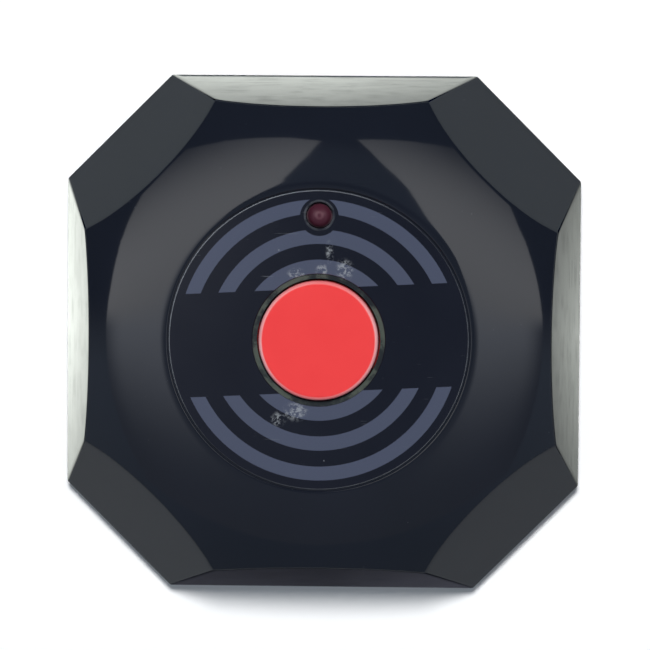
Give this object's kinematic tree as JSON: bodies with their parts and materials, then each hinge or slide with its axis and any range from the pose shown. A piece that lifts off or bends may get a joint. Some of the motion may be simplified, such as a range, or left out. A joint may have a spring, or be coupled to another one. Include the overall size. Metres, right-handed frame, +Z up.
{
  "type": "waiter call button",
  "caption": "Eight-sided table call button: domed faceted case, round face label, pressed key in the middle, signal lamp, and a battery transmitter inside.",
  "frame": {"origin": "centre of the flat underside of the base", "axes": "+Z up out of the key, +Y from the key to the signal lamp, +X to the right when the lamp is at the top"},
  "size_m": [0.06, 0.06, 0.0173],
  "materials": {
    "case_plastic": "polished blue-black moulded plastic",
    "label_film": "printed plastic film, satin",
    "key_plastic": "satin red moulded plastic",
    "lamp_resin": "clear dark red resin",
    "spacer_plastic": "matt",
    "screw_steel": "zinc-plated",
    "tinned_wire": "tinned",
    "board_laminate": "solder resist, satin",
    "switch_plastic": "matt",
    "switch_sheet": "satin",
    "spring_steel": "bright",
    "plated_steel": "nickel-plated",
    "battery_wrap": "printed sleeve on steel, gloss",
    "chip_resin": "moulded resin, matt",
    "capacitor_sleeve": "shrunk sleeve, gloss",
    "copper_wire": "enamelled copper",
    "ceramic": "fired ceramic, matt"
  },
  "bodies": {
    "housing": {"top_cover": "case_plastic", "base_cover": "case_plastic", "cover_screws": "screw_steel", "face_label": "label_film", "signal_led": "lamp_resin", "led_leads": "tinned_wire", "led_spacer": "spacer_plastic", "circuit_board": "board_laminate", "board_screws": "screw_steel", "switch_base": "switch_plastic", "switch_cover": "switch_sheet", "switch_dome": "spring_steel", "switch_terminals": "tinned_wire", "battery_can": "battery_wrap", "battery_pole": "plated_steel", "contact_negative": "plated_steel", "contact_positive": "plated_steel", "contact_spring": "spring_steel", "encoder_chip": "chip_resin", "chip_legs": "tinned_wire", "resonator_can": "plated_steel", "resonator_leads": "tinned_wire", "transistor": "chip_resin", "transistor_legs": "tinned_wire", "reservoir_capacitor": "capacitor_sleeve", "capacitor_leads": "tinned_wire", "antenna_coil": "copper_wire", "ceramic_capacitors": "ceramic", "resistors": "chip_resin"},
    "key": {"call_key": "key_plastic"},
    "plunger": {"switch_plunger": "switch_plastic"}
  },
  "joints": [
    {"name": "key_press", "type": "slide", "parent": "housing", "child": "key", "axis": [0, 0, -1], "range_m": [0, 0.0005], "stiffness_N_per_m": 2000, "springref_m": -0.0005},
    {"name": "plunger_press", "type": "slide", "parent": "housing", "child": "plunger", "axis": [0, 0, -1], "range_m": [0, 0.0005], "stiffness_N_per_m": 500, "springref_m": -0.0005, "deforming": ["switch_dome"]}
  ],
  "couplings": [
    {"joint": "plunger_press", "follows": "key_press", "ratio": 1}
  ]
}
